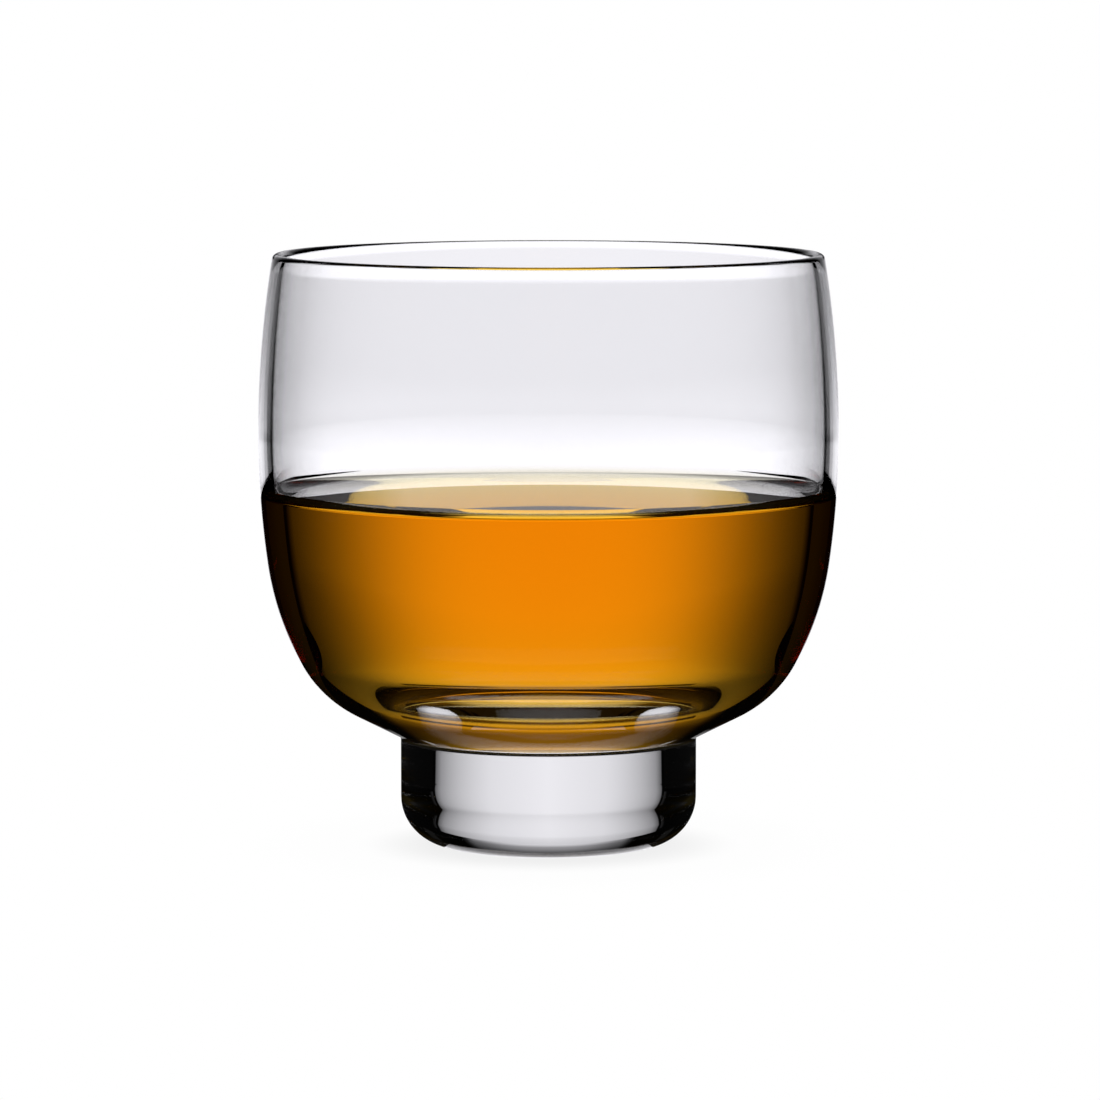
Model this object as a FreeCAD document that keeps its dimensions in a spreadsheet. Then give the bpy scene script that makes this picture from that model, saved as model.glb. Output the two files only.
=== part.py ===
import FreeCAD, Part
import math
import os

import Sketcher

# A whiskey tumbler: a mouth-blown bowl, hot-joined to a solid round foot, with a pour of
# whisky standing in the bowl. +Z is up, and the origin is the centre of the foot's underside.
# Every piece is turned about +Z from a half outline drawn in the XZ plane (radius, height).

# Driving dimensions: millimetres, and degrees where the name says angle or slope.
DIMENSIONS = {
    "overall_height": (90.0, "foot's underside to the top of the rim"),
    "widest_diameter": (88.0, "outside of the bowl at its belly"),
    "upper_wall_radius": (168.0, "outer arc from the belly up to the rim"),
    "lower_wall_radius": (137.0, "outer arc just below the belly"),
    "haunch_radius": (44.6, "outer arc between the lower wall and the heel"),
    "heel_radius": (18.4, "outer arc that turns the wall under"),
    "haunch_angle": (8.1, "lean of the wall where the haunch begins"),
    "heel_angle": (28.4, "lean of the wall where the heel begins"),
    "underside_slope": (27.0, "rise of the straight underside above level"),
    "neck_fillet": (1.0, "hollow where the underside meets the foot"),
    "foot_height": (16.0, "foot's underside to the joint with the bowl"),
    "foot_diameter": (45.0, "outside of the foot"),
    "foot_corner": (7.4, "rounding of the foot's lower edge"),
    "rim_wall": (1.75, "glass at the fire-polished rim"),
    "belly_wall": (2.15, "glass at the belly"),
    "inner_wall_radius": (120.0, "inner arc below the belly"),
    "inner_heel_radius": (19.0, "inner arc between the wall and the floor"),
    "floor_radius": (112.0, "dish of the inner floor"),
    "floor_thickness": (7.8, "glass between the joint and the lowest point inside"),
    "pour_depth": (29.2, "whisky above the lowest point inside"),
}


def make_sheet(doc):
    """Write the driving dimensions to a spreadsheet, one row each."""
    sheet = doc.addObject("Spreadsheet::Sheet", "Sizes")
    for row, (alias, (value, note)) in enumerate(DIMENSIONS.items(), start=1):
        sheet.set(f"A{row}", alias)
        sheet.set(f"B{row}", str(value))
        sheet.set(f"C{row}", note)
        sheet.setAlias(f"B{row}", alias)
    doc.recompute()
    return sheet


def polar(centre, radius, angle):
    """The point at an angle in degrees on a circle."""
    turn = math.radians(angle)
    return (centre[0] + radius * math.cos(turn), centre[1] + radius * math.sin(turn))


class BowlShape:
    """Where the bowl's arcs have their centres, worked out from the driving dimensions."""

    def __init__(self, sheet):
        for alias in DIMENSIONS:
            setattr(self, alias, float(sheet.get(alias)))
        self.widest = self.widest_diameter / 2
        self.neck = self.foot_diameter / 2
        self.heel_end = self.underside_slope - 90
        self.place_outside()
        self.place_rim()
        self.place_inside()

    def place_outside(self):
        """Chain the outer arcs from the neck up, so that the belly is as wide as asked."""
        self.fillet_centre = (self.neck + self.neck_fillet, self.foot_height)
        below_arcs = polar(self.fillet_centre, self.neck_fillet, self.underside_slope + 90)
        steps = (
            (self.heel_radius, self.heel_end, -1),
            (self.heel_radius, -self.heel_angle, 1),
            (self.haunch_radius, -self.heel_angle, -1),
            (self.haunch_radius, -self.haunch_angle, 1),
            (self.lower_wall_radius, -self.haunch_angle, -1),
            (self.lower_wall_radius, 0, 1),
        )
        reach = sum(sign * radius * math.cos(math.radians(a)) for radius, a, sign in steps)
        run = self.widest - below_arcs[0] - reach
        rise = run * math.tan(math.radians(self.underside_slope))
        self.underside_start = below_arcs
        self.underside_end = (below_arcs[0] + run, below_arcs[1] + rise)
        self.heel_centre = polar(self.underside_end, self.heel_radius, self.heel_end + 180)
        self.haunch_centre = polar(
            self.heel_centre, self.heel_radius - self.haunch_radius, -self.heel_angle
        )
        self.wall_centre = polar(
            self.haunch_centre, self.haunch_radius - self.lower_wall_radius, -self.haunch_angle
        )
        self.belly_height = self.wall_centre[1]

    def place_rim(self):
        """Roll the rim between the outer and the inner wall."""
        self.lip = self.rim_wall / 2
        self.lip_height = self.overall_height - self.lip
        rise = self.lip_height - self.belly_height
        self.upper_centre = (self.widest - self.upper_wall_radius, self.belly_height)
        reach = math.sqrt((self.upper_wall_radius - self.lip) ** 2 - rise**2)
        self.lip_centre = (self.upper_centre[0] + reach, self.lip_height)
        self.outer_lip_angle = math.degrees(math.atan2(rise, reach))
        self.inner_belly = self.widest - self.belly_wall
        lean = self.lip_centre[0] - self.inner_belly
        self.inner_upper_radius = (lean**2 + rise**2 - self.lip**2) / (self.rim_wall - 2 * lean)
        self.inner_upper_centre = (self.inner_belly - self.inner_upper_radius, self.belly_height)
        self.inner_lip_angle = math.degrees(math.atan2(rise, lean + self.inner_upper_radius))

    def place_inside(self):
        """Find the inner heel: the arc that touches both the inner wall and the floor."""
        self.floor_height = self.foot_height + self.floor_thickness
        self.level = self.floor_height + self.pour_depth
        self.inner_wall_centre = (self.inner_belly - self.inner_wall_radius, self.belly_height)
        self.floor_centre = (0.0, self.floor_height + self.floor_radius)
        to_wall = self.inner_wall_radius - self.inner_heel_radius
        to_floor = self.floor_radius - self.inner_heel_radius
        across = self.floor_centre[0] - self.inner_wall_centre[0]
        up = self.floor_centre[1] - self.inner_wall_centre[1]
        apart = math.hypot(across, up)
        along = (to_wall**2 - to_floor**2 + apart**2) / (2 * apart)
        aside = math.sqrt(to_wall**2 - along**2)
        self.inner_heel_centre = (
            self.inner_wall_centre[0] + (along * across + aside * up) / apart,
            self.inner_wall_centre[1] + (along * up - aside * across) / apart,
        )
        self.inner_heel_start = self.angle_from(self.inner_wall_centre)
        self.inner_heel_end = self.angle_from(self.floor_centre)

    def angle_from(self, centre):
        """The direction in degrees from an arc's centre to the inner heel's centre."""
        return math.degrees(
            math.atan2(
                self.inner_heel_centre[1] - centre[1], self.inner_heel_centre[0] - centre[0]
            )
        )


START, END, CENTRE = 1, 2, 3  # points of a sketch edge
UPRIGHT = -2  # a sketch's vertical axis
ORIGIN = (-1, 1)


class HalfOutline:
    """A closed half outline in a body's XZ plane, drawn edge by edge."""

    def __init__(self, body, name="Outline"):
        self.body = body
        self.name = f"{body.Name}{name}"
        self.sketch = body.newObject("Sketcher::SketchObject", self.name)
        plane = next(f for f in body.Origin.OriginFeatures if f.Role == "XZ_Plane")
        self.sketch.AttachmentSupport = [(plane, "")]
        self.sketch.MapMode = "FlatFace"

    def line(self, start, end):
        """Add a straight edge and return its number."""
        edge = Part.LineSegment(FreeCAD.Vector(*start), FreeCAD.Vector(*end))
        return self.sketch.addGeometry(edge)

    def arc(self, centre, radius, first, last):
        """Add an arc, anticlockwise between two angles in degrees, and return its number."""
        circle = Part.Circle(FreeCAD.Vector(*centre), FreeCAD.Vector(0, 0, 1), radius)
        edge = Part.ArcOfCircle(circle, math.radians(first), math.radians(last))
        return self.sketch.addGeometry(edge)

    def hold(self, *terms):
        """Add a constraint and return its number."""
        return self.sketch.addConstraint(Sketcher.Constraint(*terms))

    def size(self, name, expression, *terms):
        """Add a dimension and bind it to the sheet."""
        value = self.sketch.evalExpression(expression)
        number = float(getattr(value, "Value", value))
        if terms[0] == "Angle":
            number = math.radians(number)
        index = self.hold(*terms, number)
        self.sketch.renameConstraint(index, name)
        self.sketch.setExpression(f"Constraints.{name}", expression)

    def radius(self, name, expression, edge):
        """Set an arc's radius."""
        self.size(name, expression, "Radius", edge)

    def angle(self, name, expression, edge):
        """Set a line's slope or an arc's opening."""
        self.size(name, expression, "Angle", edge)

    def across(self, name, expression, edge, point):
        """Set how far a point stands from the vertical axis."""
        self.size(name, expression, "DistanceX", *ORIGIN, edge, point)

    def up(self, name, expression, edge, point):
        """Set how high a point stands."""
        self.size(name, expression, "DistanceY", *ORIGIN, edge, point)

    def read_height(self, name, value, edge, point):
        """Measure how high a point stands, for another outline to use."""
        index = self.hold("DistanceY", *ORIGIN, edge, point, value)
        self.sketch.setDriving(index, False)
        self.sketch.renameConstraint(index, name)

    def turn(self, kind="PartDesign::Revolution"):
        """Turn the outline about the vertical axis, to add glass or to cut it away."""
        feature = self.body.newObject(kind, f"{self.name}Turned")
        feature.Profile = self.sketch
        feature.ReferenceAxis = (self.sketch, ["V_Axis"])
        feature.Angle = 360.0
        return feature


def add_hollow(outline, shape):
    """Draw the inside below the belly: wall, heel and floor. Return wall, floor edges."""
    wall = outline.arc(
        shape.inner_wall_centre, shape.inner_wall_radius, shape.inner_heel_start, 0
    )
    heel = outline.arc(
        shape.inner_heel_centre,
        shape.inner_heel_radius,
        shape.inner_heel_end,
        shape.inner_heel_start,
    )
    floor = outline.arc(shape.floor_centre, shape.floor_radius, -90, shape.inner_heel_end)
    outline.hold("Tangent", wall, START, heel, END)
    outline.hold("Tangent", heel, START, floor, END)
    outline.hold("Horizontal", wall, CENTRE, wall, END)
    outline.hold("PointOnObject", floor, CENTRE, UPRIGHT)
    outline.hold("PointOnObject", floor, START, UPRIGHT)
    outline.radius("inner_wall", "Sizes.inner_wall_radius", wall)
    outline.radius("inner_heel", "Sizes.inner_heel_radius", heel)
    outline.radius("floor_dish", "Sizes.floor_radius", floor)
    outline.across("inner_belly", "Sizes.widest_diameter / 2 - Sizes.belly_wall", wall, END)
    outline.up("floor", "Sizes.foot_height + Sizes.floor_thickness", floor, START)
    return wall, floor


def make_foot(doc, shape):
    """The solid foot: a short round block with a rounded lower edge and a flat base."""
    body = doc.addObject("PartDesign::Body", "Foot")
    outline = HalfOutline(body)
    inner = shape.neck - shape.foot_corner
    base = outline.line((0, 0), (inner, 0))
    corner = outline.arc((inner, shape.foot_corner), shape.foot_corner, -90, 0)
    side = outline.line((shape.neck, shape.foot_corner), (shape.neck, shape.foot_height))
    top = outline.line((shape.neck, shape.foot_height), (0, shape.foot_height))
    middle = outline.line((0, shape.foot_height), (0, 0))
    outline.hold("Coincident", base, START, *ORIGIN)
    outline.hold("Horizontal", base)
    outline.hold("Tangent", base, END, corner, START)
    outline.hold("Tangent", corner, END, side, START)
    outline.hold("Vertical", side)
    outline.hold("Coincident", side, END, top, START)
    outline.hold("Horizontal", top)
    outline.hold("Coincident", top, END, middle, START)
    outline.hold("Coincident", middle, END, base, START)
    outline.hold("Vertical", middle)
    outline.radius("corner", "Sizes.foot_corner", corner)
    outline.across("side", "Sizes.foot_diameter / 2", side, END)
    outline.up("joint", "Sizes.foot_height", top, END)
    outline.turn()
    return body


def make_bowl(doc, shape):
    """The blown bowl: a thin wall with a fire-polished rim, thicker towards its floor."""
    body = doc.addObject("PartDesign::Body", "Bowl")
    outline = HalfOutline(body)
    joint = outline.line((0, shape.foot_height), (shape.neck, shape.foot_height))
    neck = outline.arc(
        shape.fillet_centre, shape.neck_fillet, shape.underside_slope + 90, 180
    )
    underside = outline.line(shape.underside_start, shape.underside_end)
    heel = outline.arc(shape.heel_centre, shape.heel_radius, shape.heel_end, -shape.heel_angle)
    haunch = outline.arc(
        shape.haunch_centre, shape.haunch_radius, -shape.heel_angle, -shape.haunch_angle
    )
    lower = outline.arc(shape.wall_centre, shape.lower_wall_radius, -shape.haunch_angle, 0)
    upper = outline.arc(shape.upper_centre, shape.upper_wall_radius, 0, shape.outer_lip_angle)
    lip = outline.arc(
        shape.lip_centre, shape.lip, shape.outer_lip_angle, shape.inner_lip_angle + 180
    )
    inner_upper = outline.arc(
        shape.inner_upper_centre, shape.inner_upper_radius, 0, shape.inner_lip_angle
    )

    outline.hold("PointOnObject", joint, START, UPRIGHT)
    outline.hold("Horizontal", joint)
    outline.hold("Coincident", neck, END, joint, END)
    outline.hold("Horizontal", neck, CENTRE, neck, END)
    outline.hold("Tangent", neck, START, underside, START)
    outline.hold("Tangent", underside, END, heel, START)
    outline.hold("Tangent", heel, END, haunch, START)
    outline.hold("Tangent", haunch, END, lower, START)
    outline.hold("Horizontal", lower, CENTRE, lower, END)
    outline.hold("Tangent", lower, END, upper, START)
    outline.hold("Tangent", upper, END, lip, START)
    outline.hold("Tangent", lip, END, inner_upper, END)
    outline.hold("Horizontal", inner_upper, CENTRE, inner_upper, START)
    outline.hold("Horizontal", inner_upper, START, lower, END)

    outline.up("joint", "Sizes.foot_height", joint, START)
    outline.across("neck", "Sizes.foot_diameter / 2", joint, END)
    outline.radius("neck_fillet", "Sizes.neck_fillet", neck)
    outline.angle("underside_slope", "Sizes.underside_slope", underside)
    outline.radius("heel", "Sizes.heel_radius", heel)
    outline.radius("haunch", "Sizes.haunch_radius", haunch)
    outline.angle("haunch_turn", "Sizes.heel_angle - Sizes.haunch_angle", haunch)
    outline.radius("lower_wall", "Sizes.lower_wall_radius", lower)
    outline.angle("lower_turn", "Sizes.haunch_angle", lower)
    outline.across("belly", "Sizes.widest_diameter / 2", lower, END)
    outline.radius("upper_wall", "Sizes.upper_wall_radius", upper)
    outline.radius("lip", "Sizes.rim_wall / 2", lip)
    outline.up("lip_height", "Sizes.overall_height - Sizes.rim_wall / 2", lip, CENTRE)

    wall, floor = add_hollow(outline, shape)
    outline.hold("Coincident", wall, END, inner_upper, START)
    middle = outline.line((0, shape.floor_height), (0, shape.foot_height))
    outline.hold("Coincident", middle, START, floor, START)
    outline.hold("Coincident", middle, END, joint, START)
    outline.read_height("belly_height", shape.belly_height, lower, END)
    outline.turn()
    return body


def make_whisky(doc, shape):
    """The pour: it fills the bowl from its floor up to a level surface."""
    body = doc.addObject("PartDesign::Body", "Whisky")
    outline = HalfOutline(body)
    wall, floor = add_hollow(outline, shape)
    lid = outline.line((shape.inner_belly, shape.belly_height), (0, shape.belly_height))
    middle = outline.line((0, shape.belly_height), (0, shape.floor_height))
    outline.hold("Coincident", lid, START, wall, END)
    outline.hold("Horizontal", lid)
    outline.hold("Coincident", lid, END, middle, START)
    outline.hold("Coincident", middle, END, floor, START)
    outline.hold("Vertical", middle)
    outline.up("belly_height", "BowlOutline.Constraints.belly_height", lid, END)
    filled = outline.turn()
    doc.recompute()
    to_belly = filled.Shape.Volume

    empty = HalfOutline(body, "Level")
    corners = (
        (0, shape.level),
        (shape.widest, shape.level),
        (shape.widest, shape.overall_height),
        (0, shape.overall_height),
    )
    edges = [empty.line(a, b) for a, b in zip(corners, corners[1:] + corners[:1])]
    for edge, following in zip(edges, edges[1:] + edges[:1]):
        empty.hold("Coincident", edge, END, following, START)
    empty.hold("PointOnObject", edges[0], START, UPRIGHT)
    for edge, direction in zip(edges, ("Horizontal", "Vertical") * 2):
        empty.hold(direction, edge)
    level = "Sizes.foot_height + Sizes.floor_thickness + Sizes.pour_depth"
    empty.up("level", level, edges[0], START)
    empty.across("outside", "Sizes.widest_diameter / 2", edges[0], END)
    empty.up("top", "Sizes.overall_height", edges[2], END)
    cut = empty.turn("PartDesign::Groove")
    doc.recompute()
    if not 0 < cut.Shape.Volume < to_belly:
        raise RuntimeError("the space above the whisky was not cut away")
    return body


def check(doc):
    """Stop if any object failed to rebuild or any outline is loose."""
    for thing in doc.Objects:
        if "Invalid" in thing.State or "Error" in thing.State:
            raise RuntimeError(f"{thing.Label} failed: {thing.State}")
        if thing.TypeId == "Sketcher::SketchObject" and not thing.FullyConstrained:
            raise RuntimeError(f"{thing.Label} is not fully constrained")


def main():
    """Build the three pieces and write one STEP file for each."""
    doc = FreeCAD.newDocument("Tumbler")
    shape = BowlShape(make_sheet(doc))
    pieces = {
        "foot": make_foot(doc, shape),
        "bowl": make_bowl(doc, shape),
        "whisky": make_whisky(doc, shape),
    }
    for name, body in pieces.items():
        body.Label = name
        body.Placement = FreeCAD.Placement()
    doc.recompute()
    check(doc)
    for name, body in pieces.items():
        if body.Shape.isNull() or not body.Shape.isValid():
            raise RuntimeError(f"{name} has no valid shape")
    os.makedirs("parts", exist_ok=True)
    for name, body in pieces.items():
        body.Shape.exportStep(f"parts/{name}.step")
        print(f"{name}: {body.Shape.Volume / 1000:.2f} ml, {len(body.Shape.Solids)} solid")


main()
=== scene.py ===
import logging
import math
from dataclasses import dataclass, field
from enum import Enum

import bmesh
import bpy
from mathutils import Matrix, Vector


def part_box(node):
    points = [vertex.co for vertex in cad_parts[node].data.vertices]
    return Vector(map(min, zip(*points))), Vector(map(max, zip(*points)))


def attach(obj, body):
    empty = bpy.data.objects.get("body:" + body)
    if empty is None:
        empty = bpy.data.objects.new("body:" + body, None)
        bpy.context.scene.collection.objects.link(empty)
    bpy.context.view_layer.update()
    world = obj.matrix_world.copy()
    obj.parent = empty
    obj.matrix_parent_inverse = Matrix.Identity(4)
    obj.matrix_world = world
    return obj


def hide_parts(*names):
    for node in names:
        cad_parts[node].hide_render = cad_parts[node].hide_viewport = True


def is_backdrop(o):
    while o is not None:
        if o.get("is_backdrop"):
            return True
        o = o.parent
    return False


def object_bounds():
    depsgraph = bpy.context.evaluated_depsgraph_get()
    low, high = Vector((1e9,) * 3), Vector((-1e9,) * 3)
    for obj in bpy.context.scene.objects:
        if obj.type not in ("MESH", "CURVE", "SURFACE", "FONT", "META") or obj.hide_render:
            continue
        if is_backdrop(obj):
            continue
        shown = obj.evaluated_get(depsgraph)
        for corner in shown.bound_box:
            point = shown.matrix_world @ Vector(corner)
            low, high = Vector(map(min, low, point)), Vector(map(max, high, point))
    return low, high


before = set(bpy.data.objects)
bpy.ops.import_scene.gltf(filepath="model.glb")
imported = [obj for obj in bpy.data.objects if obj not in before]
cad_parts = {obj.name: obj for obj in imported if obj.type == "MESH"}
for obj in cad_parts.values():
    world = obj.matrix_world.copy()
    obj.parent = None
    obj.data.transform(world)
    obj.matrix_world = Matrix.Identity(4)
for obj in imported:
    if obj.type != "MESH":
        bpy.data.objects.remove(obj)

MM = 0.001
CAD_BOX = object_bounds()
LOG = logging.getLogger("tumbler")

Point = tuple[float, float]
Stops = tuple[tuple[float, float], ...]
Spans = tuple[float, float, float, float]

GLASS, WHISKY = 1.515, 1.361
COOL_WHITE = (0.965, 0.955, 1.0, 1.0)
WHITE = (1.0, 1.0, 1.0, 1.0)


class Node(Enum):
    """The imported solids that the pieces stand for."""

    BOWL = "bowl"
    FOOT = "foot"
    WHISKY = "whisky"


class Slot(Enum):
    """The record's material slots."""

    BOWL = "clear_glass"
    FOOT = "foot_glass"
    WHISKY = "whisky"


class Interp(Enum):
    """How a ramp runs between its stops."""

    STRAIGHT = "LINEAR"
    SMOOTH = "EASE"


# ---------------------------------------------------------------------------------------------
# Outlines


class OutlinePen:
    """Draws a half outline in the XZ plane, in metres, from sizes given in millimetres."""

    def __init__(self, mesh: bmesh.types.BMesh, start: Point) -> None:
        """Put the pen down.

        Args:
            mesh: The mesh that takes the outline.
            start: The outline's first point, as radius and height.
        """
        self.mesh = mesh
        self.tip = mesh.verts.new((start[0] * MM, 0.0, start[1] * MM))

    def line(self, end: Point) -> None:
        """Draw a straight run to a point."""
        made = bmesh.ops.extrude_vert_indiv(self.mesh, verts=[self.tip])
        self.tip = made["verts"][0]
        self.tip.co = (end[0] * MM, 0.0, end[1] * MM)

    def arc(self, centre: Point, sweep: float, step: float) -> None:
        """Swing the tip about a centre.

        Args:
            centre: The arc's centre.
            sweep: How far it swings in degrees, from the X axis towards Z.
            step: The longest chord, in millimetres.
        """
        reach = math.hypot(self.tip.co.x / MM - centre[0], self.tip.co.z / MM - centre[1])
        steps = max(3, math.ceil(math.radians(abs(sweep)) * reach / step))
        made = bmesh.ops.spin(
            self.mesh, geom=[self.tip], cent=(centre[0] * MM, 0.0, centre[1] * MM),
            axis=(0.0, -1.0, 0.0), dvec=(0.0, 0.0, 0.0), angle=math.radians(sweep), steps=steps)
        self.tip = next(g for g in made["geom_last"] if isinstance(g, bmesh.types.BMVert))


class Turning:
    """A piece turned about the upright axis, one stretch of outline at a time."""

    STEPS = 192
    CREASE = math.radians(40.0)

    def __init__(self) -> None:
        """Start with an empty mesh."""
        self.mesh = bmesh.new()

    def pen(self, start: Point) -> OutlinePen:
        """Give a pen for the next stretch of outline."""
        return OutlinePen(self.mesh, start)

    def turn(self, finish: int) -> None:
        """Spin the stretch just drawn through a full turn.

        Args:
            finish: The index of the material that its faces take.
        """
        loose = [v for v in self.mesh.verts if not v.link_faces]
        runs = [e for e in self.mesh.edges if not e.link_faces]
        before = set(self.mesh.faces)
        bmesh.ops.spin(
            self.mesh, geom=loose + runs, cent=(0.0, 0.0, 0.0), axis=(0.0, 0.0, 1.0),
            dvec=(0.0, 0.0, 0.0), angle=math.tau, steps=self.STEPS, use_merge=True)
        for face in self.mesh.faces:
            if face not in before:
                face.material_index = finish

    def _facing_down(self) -> bool:
        """Whether an open skin looks down rather than up."""
        return sum(face.normal.z * face.calc_area() for face in self.mesh.faces) < 0.0

    def finish(self, name: str, finishes: list[bpy.types.Material]) -> bpy.types.Object:
        """Close the seams and poles and make the object.

        Args:
            name: The piece's name.
            finishes: Its materials, in the order of the stretches' indices.

        Returns:
            The finished piece, at the origin.
        """
        bmesh.ops.remove_doubles(self.mesh, verts=self.mesh.verts, dist=0.002 * MM)
        bmesh.ops.recalc_face_normals(self.mesh, faces=self.mesh.faces)
        if any(edge.is_boundary for edge in self.mesh.edges) and self._facing_down():
            bmesh.ops.reverse_faces(self.mesh, faces=self.mesh.faces)
        for face in self.mesh.faces:
            face.smooth = True
        for edge in self.mesh.edges:
            edge.smooth = edge.calc_face_angle(0.0) < self.CREASE
        data = bpy.data.meshes.new(name)
        self.mesh.to_mesh(data)
        self.mesh.free()
        for finish in finishes:
            data.materials.append(finish)
        piece = bpy.data.objects.new(name, data)
        bpy.context.scene.collection.objects.link(piece)
        return piece


# ---------------------------------------------------------------------------------------------
# Sizes


def polar(centre: Point, radius: float, angle: float) -> Point:
    """The point at an angle in degrees on a circle."""
    turn = math.radians(angle)
    return (centre[0] + radius * math.cos(turn), centre[1] + radius * math.sin(turn))


@dataclass(frozen=True)
class TumblerSizes:
    """The turned shape's sizes, in millimetres and degrees, as the solids have them."""

    height: float = round(CAD_BOX[1].z / MM, 2)
    widest: float = round(CAD_BOX[1].x / MM, 2)
    upper_wall: float = 168.0
    lower_wall: float = 137.0
    haunch: float = 44.6
    heel: float = 18.4
    haunch_angle: float = 8.1
    heel_angle: float = 28.4
    underside: float = 27.0
    neck: float = 1.0
    foot_height: float = round(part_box(Node.FOOT.value)[1].z / MM, 2)
    foot_radius: float = 22.5
    foot_corner: float = 7.4
    rim_wall: float = 1.75
    belly_wall: float = 2.15
    inner_wall: float = 120.0
    inner_heel: float = 19.0
    inner_floor: float = 112.0
    floor: float = 7.8
    level: float = round(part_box(Node.WHISKY.value)[1].z / MM, 2)


class BowlArcs:
    """Centres and angles of the arcs that make the bowl, worked out from the sizes."""

    def __init__(self, s: TumblerSizes) -> None:
        """Chain the arcs.

        Args:
            s: The tumbler's sizes.
        """
        self.s = s
        self.heel_end = s.underside - 90.0
        self.neck = (s.foot_radius + s.neck, s.foot_height)
        start = polar(self.neck, s.neck, s.underside + 90.0)
        end = start
        for radius, angle, way in (
                (s.heel, self.heel_end, -1), (s.heel, -s.heel_angle, 1),
                (s.haunch, -s.heel_angle, -1), (s.haunch, -s.haunch_angle, 1),
                (s.lower_wall, -s.haunch_angle, -1), (s.lower_wall, 0.0, 1)):
            end = polar(end, way * radius, angle)
        run = (s.widest - end[0]) / math.cos(math.radians(s.underside))
        self.run_end = polar(start, run, s.underside)
        self.heel = polar(self.run_end, -s.heel, self.heel_end)
        self.haunch = polar(self.heel, s.heel - s.haunch, -s.heel_angle)
        self.lower = polar(self.haunch, s.haunch - s.lower_wall, -s.haunch_angle)
        self.belly = self.lower[1]
        self.upper = (s.widest - s.upper_wall, self.belly)
        self._place_rim()
        self._place_inside()

    def _place_rim(self) -> None:
        """Find the rim's round and the inner arc that meets it."""
        s, half = self.s, self.s.rim_wall / 2
        up = s.height - half - self.belly
        across = self.upper[0] + math.sqrt((s.upper_wall - half) ** 2 - up ** 2)
        self.rim = (across, s.height - half)
        self.rim_from = math.degrees(math.atan2(up, across - self.upper[0]))
        self.inside = s.widest - s.belly_wall
        gap = across - self.inside
        radius = (gap * gap + up * up - half * half) / (2 * (half - gap))
        self.inner_up = (self.inside - radius, self.belly)
        self.rim_to = math.degrees(math.atan2(up, across - self.inner_up[0])) + 180.0

    def _place_inside(self) -> None:
        """Find the inner heel, which touches both the inner wall's arc and the floor's."""
        s = self.s
        self.inner_lo = (self.inside - s.inner_wall, self.belly)
        self.floor = (0.0, s.foot_height + s.floor + s.inner_floor)
        a, b = s.inner_wall - s.inner_heel, s.inner_floor - s.inner_heel
        dx, dy = self.floor[0] - self.inner_lo[0], self.floor[1] - self.inner_lo[1]
        span = math.hypot(dx, dy)
        along = (a * a - b * b + span * span) / (2 * span)
        aside = math.sqrt(a * a - along * along)
        self.inner_heel = (self.inner_lo[0] + (along * dx + aside * dy) / span,
                           self.inner_lo[1] + (along * dy - aside * dx) / span)
        self.wall_to = math.degrees(math.atan2(self.inner_heel[1] - self.inner_lo[1],
                                               self.inner_heel[0] - self.inner_lo[0]))
        self.floor_from = math.degrees(math.atan2(self.inner_heel[1] - self.floor[1],
                                                  self.inner_heel[0] - self.floor[0]))

    def wall_angle(self, height: float) -> float:
        """Where a height falls on the inner wall's lower arc, in degrees."""
        return math.degrees(math.asin((height - self.belly) / self.s.inner_wall))


# ---------------------------------------------------------------------------------------------
# Finishes


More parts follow.
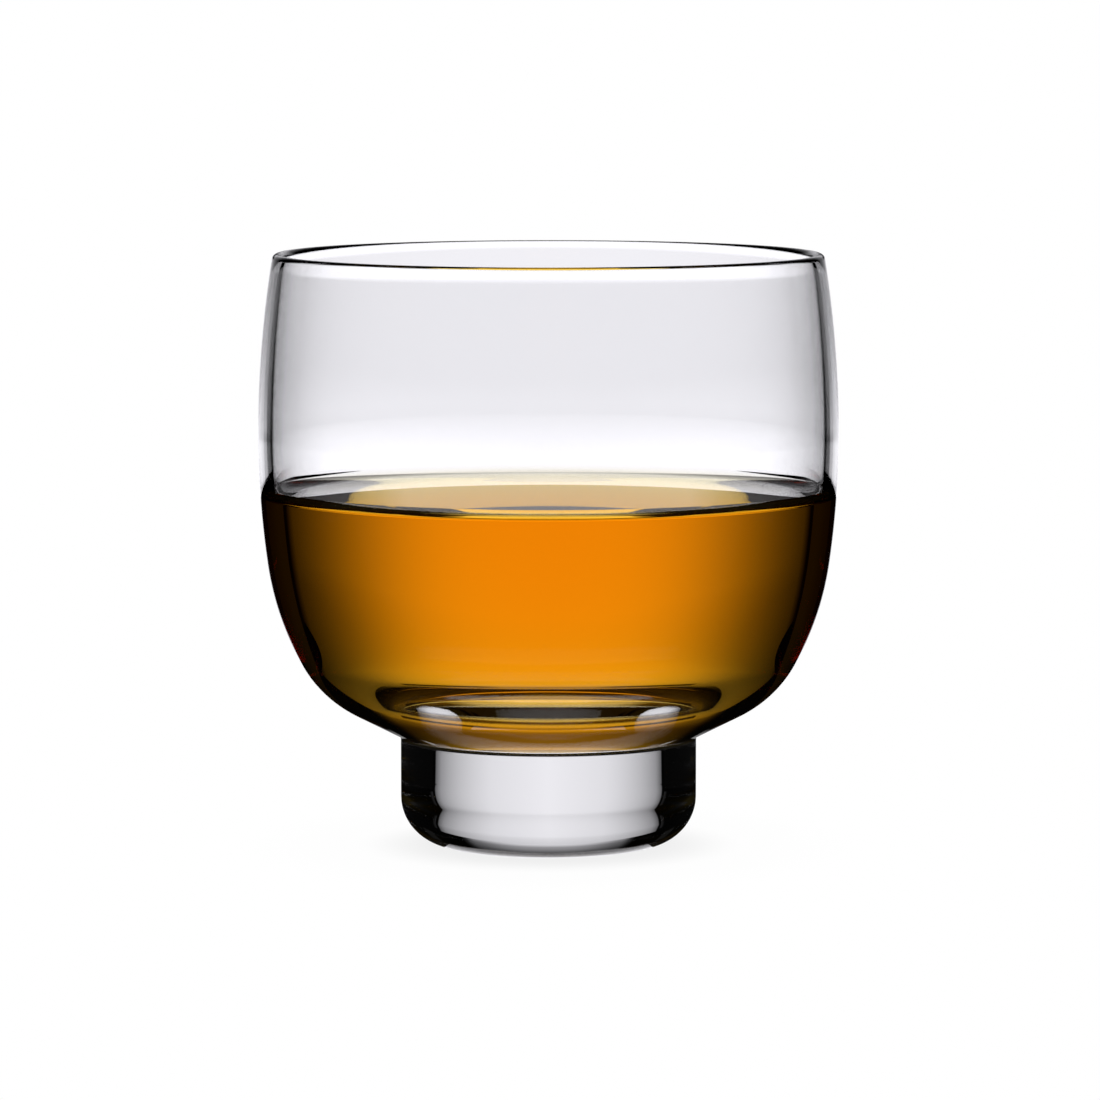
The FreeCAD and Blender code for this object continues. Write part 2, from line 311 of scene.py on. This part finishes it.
class Nodes:
    """Short hand for wiring a node tree."""

    def __init__(self, tree: bpy.types.NodeTree) -> None:
        """Take the tree to wire.

        Args:
            tree: A material's, world's or group's node tree.
        """
        self.tree = tree

    def add(self, kind: str, **settings: object) -> bpy.types.Node:
        """Add a node of a kind and set its properties."""
        node = self.tree.nodes.new(kind)
        for name, value in settings.items():
            setattr(node, name, value)
        return node

    def wire(self, out: bpy.types.NodeSocket, into: bpy.types.NodeSocket) -> None:
        """Link two sockets."""
        self.tree.links.new(out, into)

    def maths(self, what: str, a: object, b: object = None) -> bpy.types.NodeSocket:
        """A sum of two values, each a socket or a number.

        Args:
            what: The Math node's operation.
            a: The first value.
            b: The second value, if the operation has one.

        Returns:
            The result's socket.
        """
        node = self.add("ShaderNodeMath", operation=what)
        for socket, value in zip(node.inputs, (a, b)):
            if isinstance(value, bpy.types.NodeSocket):
                self.wire(value, socket)
            elif value is not None:
                socket.default_value = value
        return node.outputs[0]

    def ramp(self, value: bpy.types.NodeSocket, stops: Stops,
             interp: Interp = Interp.STRAIGHT) -> bpy.types.NodeSocket:
        """A curve through stops, read at a value and level before the first and after the last.

        Args:
            value: Where to read it.
            stops: Pairs of place and height, in order.
            interp: How it runs between the stops.

        Returns:
            The height's socket.
        """
        node = self.add("ShaderNodeValToRGB")
        node.color_ramp.interpolation = interp.value
        elements = node.color_ramp.elements
        while len(elements) < len(stops):
            elements.new(1.0)
        reach = stops[-1][0]
        top = max(height for _, height in stops)
        for element, (place, height) in zip(elements, stops):
            element.position = place / reach
            element.color = (height / top, height / top, height / top, 1.0)
        self.wire(self.maths("DIVIDE", value, reach), node.inputs[0])
        return self.maths("MULTIPLY", node.outputs[0], top)

    def falloff(self, value: bpy.types.NodeSocket, half: float, power: float) -> bpy.types.NodeSocket:
        """A soft falloff from 1 in the middle, 1 / (1 + (value / half) ** power).

        Args:
            value: How far from the middle.
            half: Where it has fallen to a half.
            power: How steeply it falls there.

        Returns:
            The height's socket.
        """
        fall = self.maths("POWER", self.maths("DIVIDE", value, half), power)
        return self.maths("DIVIDE", 1.0, self.maths("ADD", fall, 1.0))

    def place(self) -> tuple[bpy.types.NodeSocket, bpy.types.NodeSocket]:
        """The object's own X and Y."""
        split = self.add("ShaderNodeSeparateXYZ")
        self.wire(self.add("ShaderNodeTexCoord").outputs["Object"], split.inputs[0])
        return split.outputs[0], split.outputs[1]


class BlownSkin:
    """The faint unevenness of fire-polished glass, shared by every glass finish."""

    NAME = "blown_skin"

    @classmethod
    def group(cls) -> bpy.types.NodeTree:
        """Make the group once and give it back after that.

        Returns:
            A group with the outputs Tint, Roughness and Normal.
        """
        if cls.NAME in bpy.data.node_groups:
            return bpy.data.node_groups[cls.NAME]
        tree = bpy.data.node_groups.new(cls.NAME, "ShaderNodeTree")
        for name, kind in (("Tint", "NodeSocketColor"), ("Roughness", "NodeSocketFloat"),
                           ("Normal", "NodeSocketVector")):
            tree.interface.new_socket(name, in_out="OUTPUT", socket_type=kind)
        n = Nodes(tree)
        place = n.add("ShaderNodeTexCoord").outputs["Object"]
        stretch = n.add("ShaderNodeMapping")
        stretch.inputs["Scale"].default_value = (1.0, 1.0, 3.0)
        n.wire(place, stretch.inputs["Vector"])
        wave = n.add("ShaderNodeTexNoise")
        wave.inputs["Scale"].default_value = 22.0
        wave.inputs["Detail"].default_value = 1.0
        n.wire(stretch.outputs[0], wave.inputs["Vector"])
        bump = n.add("ShaderNodeBump")
        bump.inputs["Strength"].default_value = 0.02
        bump.inputs["Distance"].default_value = 0.00006
        n.wire(wave.outputs["Fac"], bump.inputs["Height"])
        smear = n.add("ShaderNodeTexNoise")
        smear.inputs["Scale"].default_value = 60.0
        n.wire(place, smear.inputs["Vector"])
        tint = n.add("ShaderNodeMix", data_type="RGBA")
        tint.inputs["A"].default_value = (0.994, 0.996, 1.0, 1.0)
        tint.inputs["B"].default_value = (1.0, 1.0, 1.0, 1.0)
        n.wire(smear.outputs["Fac"], tint.inputs["Factor"])
        rough = n.add("ShaderNodeMapRange")
        rough.inputs["From Min"].default_value = 0.6
        rough.inputs["From Max"].default_value = 0.85
        rough.inputs["To Min"].default_value = 0.0
        rough.inputs["To Max"].default_value = 0.012
        n.wire(smear.outputs["Fac"], rough.inputs["Value"])
        out = n.add("NodeGroupOutput")
        n.wire(tint.outputs["Result"], out.inputs["Tint"])
        n.wire(rough.outputs["Result"], out.inputs["Roughness"])
        n.wire(bump.outputs["Normal"], out.inputs["Normal"])
        return tree


@dataclass(frozen=True)
class Absorption:
    """How fast a liquid takes up red, green and blue, per metre."""

    red: float = 0.3
    green: float = 16.5
    blue: float = 87.0

    @property
    def density(self) -> float:
        """The density to set."""
        return self.blue

    @property
    def colour(self) -> tuple[float, float, float, float]:
        """The colour to set with that density."""
        return (1 - self.red / self.blue, 1 - self.green / self.blue, 0.0, 1.0)


@dataclass(frozen=True)
class ClearFinish:
    """A clear surface: glass to air, glass to whisky, or one half of a seamless joint."""

    name: str
    ior: float
    skin: bool = True
    drink: Absorption | None = None

    def make(self) -> bpy.types.Material:
        """Build the material.

        Returns:
            A clear material with the skin's tint, roughness and bump where it has them.
        """
        material = bpy.data.materials.new(self.name)
        material.use_nodes = True
        n = Nodes(material.node_tree)
        shader = n.tree.nodes["Principled BSDF"]
        shader.inputs["Base Color"].default_value = (1.0, 1.0, 1.0, 1.0)
        shader.inputs["Roughness"].default_value = 0.0
        shader.inputs["IOR"].default_value = self.ior
        shader.inputs["Transmission Weight"].default_value = 1.0
        if self.skin:
            skin = n.add("ShaderNodeGroup", node_tree=BlownSkin.group())
            n.wire(skin.outputs["Tint"], shader.inputs["Base Color"])
            n.wire(skin.outputs["Roughness"], shader.inputs["Roughness"])
            n.wire(skin.outputs["Normal"], shader.inputs["Normal"])
        if self.drink:
            take_up = n.add("ShaderNodeVolumeAbsorption")
            take_up.inputs["Color"].default_value = self.drink.colour
            take_up.inputs["Density"].default_value = self.drink.density
            n.wire(take_up.outputs[0], n.tree.nodes["Material Output"].inputs["Volume"])
        return material


# ---------------------------------------------------------------------------------------------
# Pieces


@dataclass(frozen=True)
class Chords:
    """The longest chord on each arc, in millimetres, short where a facet would show."""

    neck: float = 0.1
    rim: float = 0.12
    foot_corner: float = 0.25
    shore: float = 0.3
    heel: float = 0.6
    haunch: float = 1.0
    inside: float = 1.3
    lower: float = 2.0
    upper: float = 2.2


CHORDS = Chords()


def draw_inside(pen: OutlinePen, arcs: BowlArcs, start: float) -> None:
    """Draw the wetted inside down to the axis.

    Args:
        pen: The pen, standing on the wall's lower arc.
        arcs: The bowl's arcs.
        start: The angle at which the pen stands.
    """
    pen.arc(arcs.inner_lo, arcs.wall_to - start, CHORDS.inside)
    pen.arc(arcs.inner_heel, arcs.floor_from - arcs.wall_to, CHORDS.heel)
    pen.arc(arcs.floor, -90.0 - arcs.floor_from, CHORDS.inside)


@dataclass
class Bowl:
    """The blown bowl, down to the joint on the foot."""

    arcs: BowlArcs
    wet_to: float
    finishes: tuple[ClearFinish, ...] = (
        ClearFinish("bowl_glass", GLASS),
        ClearFinish("bowl_glass_under_whisky", GLASS / WHISKY, skin=False),
        ClearFinish("bowl_joint", 1.0, skin=False))

    def build(self) -> bpy.types.Object:
        """Turn the outside and rim, the dry and the wetted inside, and the joint.

        Returns:
            The bowl's object.
        """
        a, s, work = self.arcs, self.arcs.s, Turning()
        wet = a.wall_angle(self.wet_to)
        pen = work.pen((s.foot_radius, s.foot_height))
        pen.arc(a.neck, s.underside - 90.0, CHORDS.neck)
        pen.line(tuple((p + q) / 2 for p, q in zip((pen.tip.co.x / MM, pen.tip.co.z / MM), a.run_end)))
        pen.line(a.run_end)
        pen.arc(a.heel, -s.heel_angle - a.heel_end, CHORDS.heel)
        pen.arc(a.haunch, s.heel_angle - s.haunch_angle, CHORDS.haunch)
        pen.arc(a.lower, s.haunch_angle, CHORDS.lower)
        pen.arc(a.upper, a.rim_from, CHORDS.upper)
        pen.arc(a.rim, a.rim_to - a.rim_from, CHORDS.rim)
        pen.arc(a.inner_up, 180.0 - a.rim_to, CHORDS.upper)
        pen.arc(a.inner_lo, wet, CHORDS.shore)
        shore = (pen.tip.co.x / MM, pen.tip.co.z / MM)
        work.turn(0)
        pen = work.pen(shore)
        draw_inside(pen, a, wet)
        work.turn(1)
        pen = work.pen((s.foot_radius, s.foot_height))
        for share in (0.75, 0.5, 0.25, 0.0):
            pen.line((s.foot_radius * share, s.foot_height))
        work.turn(2)
        return work.finish("blown_bowl", [f.make() for f in self.finishes])


@dataclass
class Foot:
    """The solid round foot."""

    sizes: TumblerSizes
    joint_gap: float = 0.01
    finishes: tuple[ClearFinish, ...] = (
        ClearFinish("foot_glass", GLASS),
        ClearFinish("foot_joint", 1.0, skin=False))

    def build(self) -> bpy.types.Object:
        """Turn the base, the rounded edge and the side, then the joint.

        Returns:
            The foot's object.
        """
        s, work = self.sizes, Turning()
        top = s.foot_height - self.joint_gap
        pen = work.pen((0.0, 0.0))
        for share in (0.25, 0.5, 0.75, 1.0):
            pen.line(((s.foot_radius - s.foot_corner) * share, 0.0))
        pen.arc((s.foot_radius - s.foot_corner, s.foot_corner), 90.0, CHORDS.foot_corner)
        for share in (0.25, 0.5, 0.75, 1.0):
            pen.line((s.foot_radius, s.foot_corner + (top - s.foot_corner) * share))
        work.turn(0)
        pen = work.pen((s.foot_radius, top))
        for share in (0.75, 0.5, 0.25, 0.0):
            pen.line((s.foot_radius * share, top))
        work.turn(1)
        return work.finish("solid_foot", [f.make() for f in self.finishes])


class Meniscus:
    """The whisky's level surface and the rim that it climbs up the wall."""

    def __init__(self, arcs: BowlArcs, climb: float = 2.0, reach: float = 1.75) -> None:
        """Work out where the surface meets the wall.

        Args:
            arcs: The bowl's arcs.
            climb: How high the rim climbs, in millimetres.
            reach: The whisky's capillary length, in millimetres.
        """
        self.level, self.climb, self.reach = arcs.s.level, climb, reach
        self.wall = arcs.wall_angle(self.level + climb)
        self.shore = polar(arcs.inner_lo, arcs.s.inner_wall, self.wall)

    def run_out(self, height: float) -> float:
        """How far from an upright wall the rim stands at a height."""
        ratio = height / self.reach
        return self.reach * (math.acosh(2 / ratio) - math.sqrt(4 - ratio * ratio))

    def points(self, inset: float, drop: float) -> list[Point]:
        """Points from the axis to the shore.

        Args:
            inset: How far the shore stands in from the wall.
            drop: How far the points lie below the true surface.

        Returns:
            Radius and height of each point.
        """
        rise = [0.004 * (self.climb / 0.004) ** (i / 30) for i in range(31)]
        edge = [(self.shore[0] - inset - self.run_out(h) + self.run_out(self.climb), self.level + h - drop)
                for h in rise]
        flat = [(edge[0][0] * share, self.level - drop) for share in (0.0, 0.15, 0.3, 0.5, 0.7, 0.85, 0.95)]
        return flat + edge


@dataclass
class Pour:
    """The body of the whisky, which colours the light that crosses it."""

    arcs: BowlArcs
    meniscus: Meniscus
    wall_gap: float = 0.02
    finish: ClearFinish = ClearFinish("whisky_body", 1.0, skin=False, drink=Absorption())

    def build(self) -> bpy.types.Object:
        """Turn the top, then the side and bottom just inside the wetted glass.

        Returns:
            The whisky's object.
        """
        a, s, work = self.arcs, self.arcs.s, Turning()
        top = self.meniscus.points(self.wall_gap, self.wall_gap)
        start = (top[-1][0], top[-1][1])
        wall = a.wall_angle(start[1])
        pen = work.pen(top[0])
        for point in top[1:]:
            pen.line(point)
        pen.line(polar(a.inner_lo, s.inner_wall - self.wall_gap, wall))
        draw_inside(pen, a, wall)
        work.turn(0)
        return work.finish("whisky_pour", [self.finish.make()])


@dataclass
class PourSurface:
    """The bright skin of the whisky, where light bends as it goes in or out."""

    meniscus: Meniscus
    finish: ClearFinish = ClearFinish("whisky_surface", WHISKY, skin=False)

    def build(self) -> bpy.types.Object:
        """Turn the level surface and its climbing rim.

        Returns:
            The surface's object, facing up.
        """
        work = Turning()
        top = self.meniscus.points(0.004, 0.0)
        pen = work.pen(top[0])
        for point in top[1:]:
            pen.line(point)
        work.turn(0)
        return work.finish("whisky_surface", [self.finish.make()])


# ---------------------------------------------------------------------------------------------
# Studio


@dataclass
class Camera:
    """A long lens, a little above the glass."""

    distance: float = 0.9
    elevation: float = 5.75
    lens: float = 193.8
    shift: Point = (0.00136, -0.00063)

    def build(self) -> bpy.types.Object:
        """Make the camera and point it at the middle of the tumbler.

        Returns:
            The camera's object.
        """
        low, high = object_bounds()
        middle = (low + high) / 2
        tilt = math.radians(self.elevation)
        data = bpy.data.cameras.new("camera")
        data.lens, data.sensor_width = self.lens, 36.0
        data.shift_x, data.shift_y = self.shift
        data.clip_end = 50.0
        camera = bpy.data.objects.new("camera", data)
        back, rise = self.distance * math.cos(tilt), self.distance * math.sin(tilt)
        camera.location = (0.0, -back, middle.z + rise)
        camera.rotation_euler = (math.pi / 2 - tilt, 0.0, 0.0)
        bpy.context.scene.collection.objects.link(camera)
        bpy.context.scene.camera = camera
        return camera


def bare_material(name: str) -> tuple[bpy.types.Material, Nodes]:
    """Start a material with an empty node tree."""
    material = bpy.data.materials.new(name)
    material.use_nodes = True
    n = Nodes(material.node_tree)
    n.tree.nodes.clear()
    return material, n


def glow(n: Nodes, strength: bpy.types.NodeSocket, colour: tuple[float, float, float, float]) -> None:
    """End a bare material with an emission.

    Args:
        n: The material's nodes.
        strength: How bright it is.
        colour: The light's colour.
    """
    light = n.add("ShaderNodeEmission")
    light.inputs["Color"].default_value = colour
    n.wire(strength, light.inputs["Strength"])
    n.wire(light.outputs[0], n.add("ShaderNodeOutputMaterial").inputs["Surface"])


def lay_sheet(name: str, spans: Spans, depth: float, material: bpy.types.Material,
              carrier: bpy.types.Object | None = None) -> bpy.types.Object:
    """Make one flat sheet of the studio.

    Args:
        name: The sheet's name.
        spans: Its two edges along X and its two edges along Y.
        depth: Its place along Z.
        material: Its material.
        carrier: The object that carries it, if one does.

    Returns:
        The sheet's object, which casts no shadow.
    """
    left, right, near, far = spans
    mesh = bmesh.new()
    bmesh.ops.create_grid(mesh, x_segments=1, y_segments=1, size=0.5)
    bmesh.ops.scale(mesh, vec=(right - left, far - near, 1.0), verts=mesh.verts)
    bmesh.ops.translate(mesh, vec=((left + right) / 2, (near + far) / 2, depth), verts=mesh.verts)
    data = bpy.data.meshes.new(name)
    mesh.to_mesh(data)
    mesh.free()
    data.materials.append(material)
    sheet = bpy.data.objects.new(name, data)
    bpy.context.scene.collection.objects.link(sheet)
    sheet.parent = carrier
    sheet.visible_diffuse = sheet.visible_shadow = False
    sheet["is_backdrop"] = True
    return sheet


@dataclass(frozen=True)
class Card:
    """A lit card behind the glass that only refracted and reflected rays see."""

    name: str
    behind: float
    spans: Spans

    def place(self, camera: bpy.types.Object, distance: float) -> None:
        """Make the card square to the camera's line and carried by it.

        Args:
            camera: The camera.
            distance: From the camera to the tumbler's middle.
        """
        sheet = lay_sheet(self.name, self.spans, -(distance + self.behind), self.make(), camera)
        sheet.visible_camera = False

    def make(self) -> bpy.types.Material:
        """Build the card's glow.

        Returns:
            An emission material.
        """
        material, n = bare_material(self.name)
        glow(n, self.strength(n, *n.place()), COOL_WHITE)
        return material

    def strength(self, n: Nodes, across: bpy.types.NodeSocket,
                 up: bpy.types.NodeSocket) -> bpy.types.NodeSocket:
        """How bright the card is at a place. Each kind of card gives its own, and a bare card has none."""
        raise NotImplementedError


@dataclass(frozen=True)
class Backlight(Card):
    """The far light: wide and even below its horizon, a hot spot above it."""

    horizon: float = 0.026
    soften: float = 0.006
    below: Stops = ((0.0, 1.25), (0.12, 1.36), (0.20, 1.18), (0.40, 1.0), (0.55, 0.55), (0.76, 0.17),
                    (0.775, 0.0))
    under: Stops = ((0.0, 1.0), (0.60, 0.95), (1.30, 0.6), (1.45, 0.0))
    half_width: float = 0.35
    steepness: float = 3.3
    edge: Stops = ((0.85, 1.0), (0.95, 0.0))
    above: Stops = ((0.13, 1.0), (0.20, 0.80), (0.35, 0.74), (0.42, 0.34), (0.60, 0.15), (0.90, 0.0))
    pinch: Stops = ((0.43, 1.0), (0.49, 0.2), (0.53, 0.0))
    pinch_from: float = 0.31

    def strength(self, n: Nodes, across: bpy.types.NodeSocket,
                 up: bpy.types.NodeSocket) -> bpy.types.NodeSocket:
        """Blend the two halves over a narrow horizon."""
        side = n.maths("DIVIDE", n.maths("ABSOLUTE", across), self.behind)
        rise = n.maths("DIVIDE", up, self.behind)
        fall = n.maths("MULTIPLY", rise, -1.0)
        low = n.maths("MULTIPLY", n.ramp(side, self.below), n.ramp(fall, self.under))
        fade = n.maths("MULTIPLY", n.falloff(side, self.half_width, self.steepness), n.ramp(side, self.edge))
        high = n.maths("MULTIPLY", fade, n.ramp(rise, self.above))
        full = n.maths("LESS_THAN", rise, self.pinch_from)
        narrow = n.maths("MINIMUM", n.maths("ADD", n.ramp(side, self.pinch), full), 1.0)
        split = n.add("ShaderNodeMapRange")
        split.inputs["From Min"].default_value = self.horizon - self.soften
        split.inputs["From Max"].default_value = self.horizon + self.soften
        n.wire(rise, split.inputs["Value"])
        part = split.outputs["Result"]
        return n.maths("ADD", n.maths("MULTIPLY", low, n.maths("SUBTRACT", 1.0, part)),
                       n.maths("MULTIPLY", n.maths("MULTIPLY", high, narrow), part))


@dataclass(frozen=True)
class LowCard(Card):
    """A small card low behind the foot."""

    across: Stops = ((0.0, 1.05), (0.010, 0.92), (0.028, 0.36), (0.0315, 0.15), (0.0323, 0.0))
    upwards: Stops = ((0.027, 0.9), (0.031, 0.76), (0.038, 0.66))

    def strength(self, n: Nodes, across: bpy.types.NodeSocket,
                 up: bpy.types.NodeSocket) -> bpy.types.NodeSocket:
        """Bright in the middle, dimmer to the sides and the top."""
        rise = n.maths("SUBTRACT", up, self.spans[2])
        return n.maths("MULTIPLY", n.ramp(n.maths("ABSOLUTE", across), self.across),
                       n.ramp(rise, self.upwards))


@dataclass(frozen=True)
class GreyCard(Card):
    """The card that the whisky's surface mirrors."""

    across: Stops = ((0.050, 0.48), (0.064, 0.27), (0.080, 0.12), (0.17, 0.05))

    def strength(self, n: Nodes, across: bpy.types.NodeSocket,
                 up: bpy.types.NodeSocket) -> bpy.types.NodeSocket:
        """Grey in the middle, darker to the sides."""
        return n.ramp(n.maths("ABSOLUTE", across), self.across)


@dataclass(frozen=True)
class Flag(Card):
    """A black card with a clear middle, which keeps light off the tumbler's edges."""

    clear: Stops = ((0.048, 1.0), (0.055, 0.55), (0.062, 0.0))
    sheer: Stops = ((0.056, 1.0), (0.072, 0.74), (0.095, 0.66), (0.098, 0.0))
    sheer_from: float = 0.008

    def make(self) -> bpy.types.Material:
        """Build the flag's see-through middle.

        Returns:
            A material that is clear in the middle and black at the sides.
        """
        material, n = bare_material(self.name)
        across, up = n.place()
        side = n.maths("ABSOLUTE", across)
        sheer = n.maths("MULTIPLY", n.maths("GREATER_THAN", up, self.sheer_from), n.ramp(side, self.sheer))
        through = n.add("ShaderNodeBsdfTransparent")
        n.wire(n.maths("MAXIMUM", n.ramp(side, self.clear), sheer), through.inputs["Color"])
        n.wire(through.outputs[0], n.add("ShaderNodeOutputMaterial").inputs["Surface"])
        return material


@dataclass
class Studio:
    """Floor, surroundings, camera and lights."""

    camera: Camera = field(default_factory=Camera)
    cards: tuple[Card, ...] = (
        Backlight("back_light", 2.0, (-2.0, 2.0, -3.0, 2.0)),
        LowCard("low_light", 0.072, (-0.034, 0.034, -0.0535, -0.0157)),
        Flag("side_flags", 0.10, (-0.6, 0.6, -0.4, 0.6)),
        GreyCard("grey_card", 0.59, (-0.20, 0.20, 0.105, 0.160)))
    surround: float = 0.012
    floor_reach: float = 3.0
    floor_depth: float = -0.0002
    table_depth: float = -0.0004
    # Painted contact shade: the floor's glow is 0.86 under and round the foot and rises to even white
    # further out.
    floor: Stops = ((0.016, 0.86), (0.030, 0.99), (0.05, 1.0))
    # Painted shade: the table cards glow almost black and stand in for the shaded table that the glass
    # shows.
    dark: Stops = ((0.0, 0.001), (1.0, 0.001))
    # Painted pool of light: a glowing patch on the table behind the foot, brightest in the middle and dark
    # at its sides.
    table: Stops = ((0.021, 1.2), (0.027, 0.4), (0.031, 0.0))
    bounces: int = 32
    mirror_bounces: int = 16

    def build(self) -> None:
        """Set up everything round the tumbler."""
        camera = self.camera.build()
        for card in self.cards:
            card.place(camera, self.camera.distance)
        self.lay_floor()
        self.lay_painted_table_light_and_shade()
        self.fill_surround()
        scene = bpy.context.scene
        scene.view_settings.view_transform = "Standard"
        scene.cycles.max_bounces = scene.cycles.transmission_bounces = self.bounces
        scene.cycles.glossy_bounces = self.mirror_bounces

    def lay_floor(self) -> None:
        """A pale floor that only the camera sees, with painted contact shade that makes it a touch greyer
        where the foot stands.
        """
        material, n = bare_material("pale_floor_painted_shade")
        away = n.add("ShaderNodeVectorMath", operation="LENGTH")
        n.wire(n.add("ShaderNodeTexCoord").outputs["Object"], away.inputs[0])
        # The ramp paints the contact shade round the foot into the floor's glow.
        glow(n, n.ramp(away.outputs["Value"], self.floor, Interp.SMOOTH), WHITE)
        reach = self.floor_reach
        floor = lay_sheet("floor", (-reach, reach, -reach, reach), self.floor_depth, material)
        floor.visible_glossy = floor.visible_transmission = False

    def lay_painted_table_light_and_shade(self) -> None:
        """Dark cards of painted shade on the table at both sides, and a painted pool of light on the table
        behind the foot.
        """
        for name, spans, stops in (
                # Four cards of painted shade on the table round the foot.
                ("painted_table_shade_front_left", (-0.30, -0.016, -0.06, 0.046), self.dark),
                ("painted_table_shade_front_right", (0.016, 0.30, -0.06, 0.046), self.dark),
                ("painted_table_shade_back_left", (-0.30, -0.031, 0.046, 0.16), self.dark),
                ("painted_table_shade_back_right", (0.031, 0.30, 0.046, 0.16), self.dark),
                # A painted pool of light on the table behind the foot.
                ("painted_table_light_patch", (-0.031, 0.031, 0.046, 0.070), self.table)):
            material, n = bare_material(name)
            glow(n, n.ramp(n.maths("ABSOLUTE", n.place()[0]), stops), WHITE)
            lay_sheet(name, spans, self.table_depth, material).visible_camera = False

    def fill_surround(self) -> None:
        """White where the camera looks past the tumbler, dark for what the glass mirrors."""
        world = bpy.data.worlds.new("surround")
        bpy.context.scene.world = world
        world.use_nodes = True
        n = Nodes(world.node_tree)
        seen = n.add("ShaderNodeMapRange")
        seen.inputs["To Min"].default_value = self.surround
        n.wire(n.add("ShaderNodeLightPath").outputs["Is Camera Ray"], seen.inputs["Value"])
        back = n.tree.nodes["Background"]
        back.inputs["Color"].default_value = WHITE
        n.wire(seen.outputs["Result"], back.inputs["Strength"])


def declare(piece: bpy.types.Object, node: Node) -> None:
    """Carry a piece on the root body, hide the solid that it replaces, and log it.

    Args:
        piece: The finished piece.
        node: The solid that it replaces.
    """
    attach(piece, "root")
    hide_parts(node.value)
    LOG.info("%s: %d faces, %d finishes", piece.name, len(piece.data.polygons), len(piece.data.materials))


def main() -> None:
    """Build the tumbler piece by piece, then the studio."""
    logging.basicConfig(level=logging.INFO, format="%(name)s %(message)s")
    sizes = TumblerSizes()
    arcs = BowlArcs(sizes)
    meniscus = Meniscus(arcs)
    declare(Bowl(arcs, meniscus.shore[1]).build(), Node.BOWL)
    declare(Foot(sizes).build(), Node.FOOT)
    declare(Pour(arcs, meniscus).build(), Node.WHISKY)
    declare(PourSurface(meniscus).build(), Node.WHISKY)
    Studio().build()


if __name__ == "__main__":
    main()
